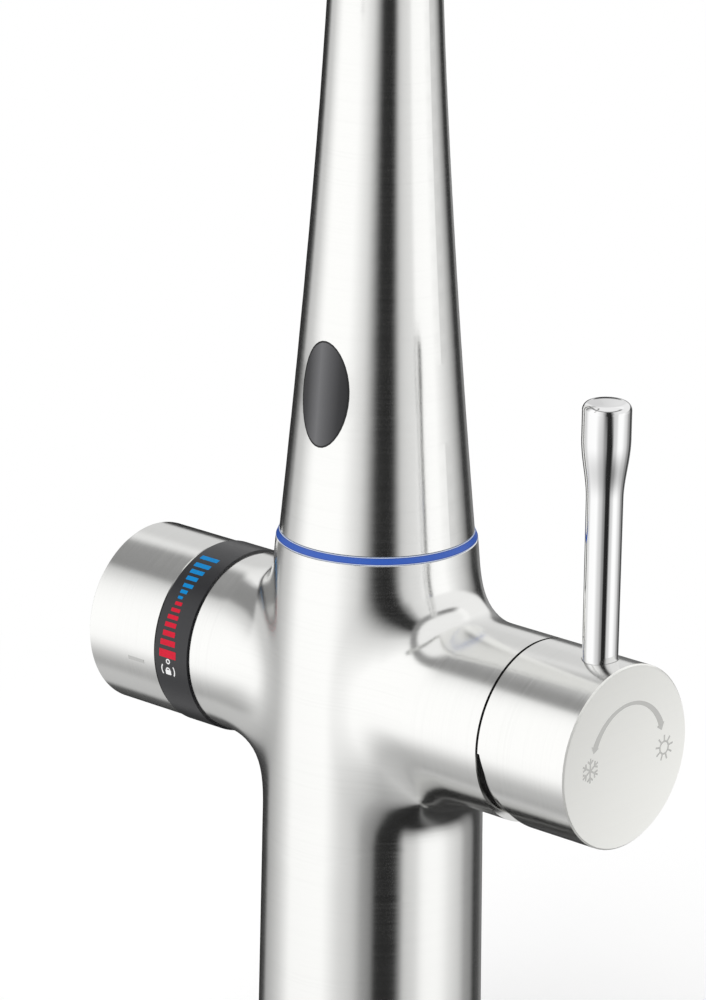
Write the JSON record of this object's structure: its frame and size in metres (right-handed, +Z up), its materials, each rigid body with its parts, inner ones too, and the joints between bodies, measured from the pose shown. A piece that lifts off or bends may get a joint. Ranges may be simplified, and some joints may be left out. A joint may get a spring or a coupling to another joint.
{
  "type": "boiling water tap",
  "caption": "Deck-mounted kitchen tap with a swivelling gooseneck spout, a mixer lever, a boiling water dial, a light ring and a touch-free sensor.",
  "frame": {"origin": "on the worktop, at the middle of the underside of the base gasket", "axes": "+Z up, -Y towards the user and the spout, +X towards the mixer lever, -X towards the boiling water dial"},
  "size_m": [0.1439, 0.22, 0.4784],
  "materials": {
    "brushed_steel": "fine circular brushing, satin",
    "polished_chrome": "polished",
    "scale_black": "satin dark coating with printed scale bars",
    "light_ring": "translucent, lit blue",
    "sensor_glass": "glossy dark lens",
    "rubber_black": "matte",
    "brass": "machined",
    "steel_plain": "plain turned steel",
    "steel_dark": "dark oxide",
    "bearing_plastic": "moulded, natural white",
    "cartridge_plastic": "moulded, off-white",
    "rotor_plastic": "moulded, dark grey",
    "ceramic": "lapped white ceramic",
    "circuit_board": "green board",
    "tube_plastic": "extruded, milky",
    "aerator_plastic": "moulded, grey"
  },
  "bodies": {
    "root": {"body": "brushed_steel", "base_ring": "brushed_steel", "base_gasket": "rubber_black", "mounting_shank": "brass", "clamp_gasket": "rubber_black", "clamp_washer": "steel_plain", "mounting_nut": "brass", "light_ring": "light_ring", "light_board": "circuit_board", "swivel_bush": "bearing_plastic", "spout_stop_screw": "steel_dark", "cartridge_base": "cartridge_plastic", "cartridge_seals": "rubber_black", "cartridge_housing": "cartridge_plastic", "mixer_disc_fixed": "ceramic", "ring_nut": "brass", "dome_collar": "steel_plain", "collar_seal": "rubber_black", "scale_ring": "scale_black", "dial_glide_ring": "bearing_plastic", "boil_valve_seals": "rubber_black", "boil_valve_body": "brass", "boil_valve_nut": "brass", "boil_disc_fixed": "ceramic"},
    "mixer_rotor": {"mixer_rotor": "rotor_plastic", "stem_pin": "steel_plain"},
    "sliding_disc": {"mixer_disc_sliding": "ceramic", "disc_carrier": "rotor_plastic"},
    "lever": {"lever_stem": "brass", "lever_hub": "brushed_steel", "lever_rod": "polished_chrome", "hub_set_screw": "steel_dark"},
    "dial": {"boil_disc_turning": "ceramic", "boil_spindle": "brass", "spindle_rings": "rubber_black", "spindle_clip": "steel_plain", "dial_knob": "brushed_steel", "knob_insert": "bearing_plastic", "knob_set_screw": "steel_dark"},
    "spout": {"spout_sleeve": "brass", "spout_rings": "rubber_black", "sleeve_band": "bearing_plastic", "neck": "brushed_steel", "gooseneck": "brushed_steel", "boil_tube": "steel_plain", "mixed_tube": "tube_plastic", "sensor_window": "sensor_glass", "sensor_seal": "rubber_black", "sensor_module": "rotor_plastic", "outlet_block": "brass", "boil_nozzle": "steel_plain", "aerator_washer": "rubber_black", "aerator_housing": "brushed_steel", "aerator_insert": "aerator_plastic"}
  },
  "joints": [
    {"name": "spout_swivel", "type": "hinge", "parent": "root", "child": "spout", "pos_m": [0, 0, 0.1393], "axis": [0, 0, 1], "range_deg": [-90, 90]},
    {"name": "lever_temperature", "type": "hinge", "parent": "root", "child": "mixer_rotor", "pos_m": [0.045, 0, 0.115], "axis": [1, 0, 0], "range_deg": [-45, 45]},
    {"name": "lever_flow", "type": "hinge", "parent": "mixer_rotor", "child": "lever", "pos_m": [0.0487, 0, 0.115], "axis": [0, 1, 0], "range_deg": [0, 15]},
    {"name": "disc_slide", "type": "slide", "parent": "mixer_rotor", "child": "sliding_disc", "axis": [0, 0, 1], "range_m": [0, 0.005]},
    {"name": "dial_turn", "type": "hinge", "parent": "root", "child": "dial", "pos_m": [-0.05, 0, 0.115], "axis": [-1, 0, 0], "range_deg": [0, 79]}
  ],
  "couplings": [
    {"joint": "disc_slide", "follows": "lever_flow", "m_per_rad": 0.01831}
  ]
}
